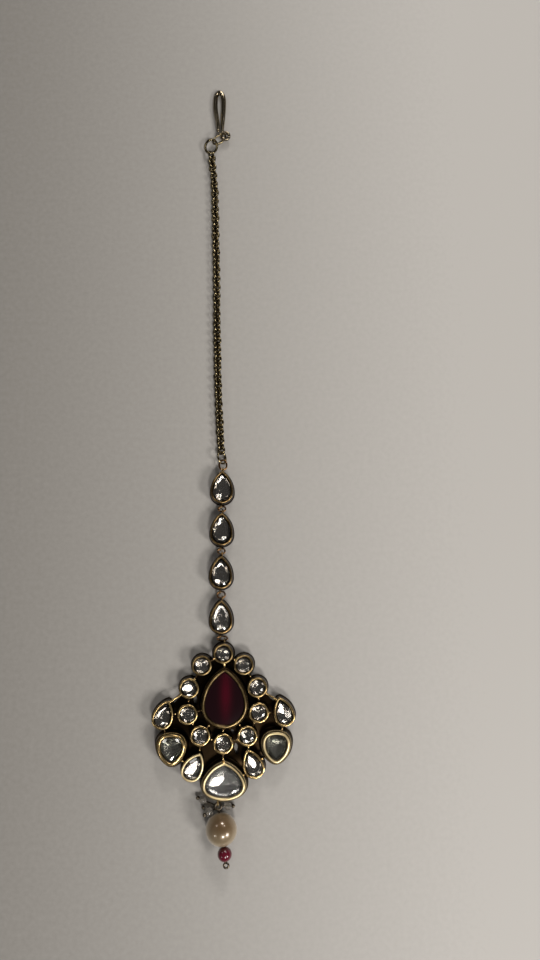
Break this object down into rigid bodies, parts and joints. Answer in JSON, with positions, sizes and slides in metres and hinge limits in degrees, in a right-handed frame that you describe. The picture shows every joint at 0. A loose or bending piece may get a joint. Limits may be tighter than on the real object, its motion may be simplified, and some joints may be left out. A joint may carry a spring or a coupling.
{
  "type": "maang tikka",
  "caption": "Hair ornament: gem-set openwork pendant with a pearl drop, a row of pear drops, a fine chain and a hair hook.",
  "frame": {"origin": "middle of the flat back of the ruby's setting, on the surface that the ornament lies on", "axes": "+X to the right, +Y from the pendant up along the chain to the hook, +Z out of the back face towards the stones"},
  "size_m": [0.0332, 0.1884, 0.007],
  "materials": {
    "antique_gold": "polished antique gold plate, dark in the recesses",
    "antique_wire": "darker antique gold plate on wire",
    "dark_wire": "tarnished wire",
    "clear_stone": "faceted, foiled at the back",
    "ruby_glass": "smooth, foiled at the back",
    "clear_bead": "smooth clear glass",
    "red_glass": "smooth red glass",
    "pearl": "pearl lacquer"
  },
  "bodies": {
    "root": {"bead_pin_1": "dark_wire", "bead_pin_2": "dark_wire", "bead_pin_3": "dark_wire", "bead_pin_4": "dark_wire", "bottom_stone": "clear_stone", "chain": "antique_wire", "chain_end_ring": "antique_wire", "chain_top_ring": "antique_wire", "dangle_ring": "antique_gold", "drop_pin": "dark_wire", "drop_setting_1": "antique_gold", "drop_setting_2": "antique_gold", "drop_setting_3": "antique_gold", "drop_setting_4": "antique_gold", "drop_stone_1": "clear_stone", "drop_stone_2": "clear_stone", "drop_stone_3": "clear_stone", "drop_stone_4": "clear_stone", "drop_top_ring": "antique_gold", "glass_bead_1": "clear_bead", "glass_bead_2": "clear_bead", "glass_bead_3": "clear_bead", "glass_bead_4": "clear_bead", "hair_hook": "antique_wire", "hook_ring": "antique_wire", "jump_ring_1": "antique_gold", "jump_ring_2": "antique_gold", "jump_ring_3": "antique_gold", "jump_ring_4": "antique_gold", "pear_stone_lower_left": "clear_stone", "pear_stone_lower_right": "clear_stone", "pear_stone_upper_left": "clear_stone", "pear_stone_upper_right": "clear_stone", "pearl": "pearl", "pendant_frame": "antique_gold", "red_bead": "red_glass", "round_stone_1": "clear_stone", "round_stone_10": "clear_stone", "round_stone_2": "clear_stone", "round_stone_3": "clear_stone", "round_stone_4": "clear_stone", "round_stone_5": "clear_stone", "round_stone_6": "clear_stone", "round_stone_7": "clear_stone", "round_stone_8": "clear_stone", "round_stone_9": "clear_stone", "ruby": "ruby_glass", "side_stone_left": "clear_stone", "side_stone_right": "clear_stone"}
  },
  "joints": []
}
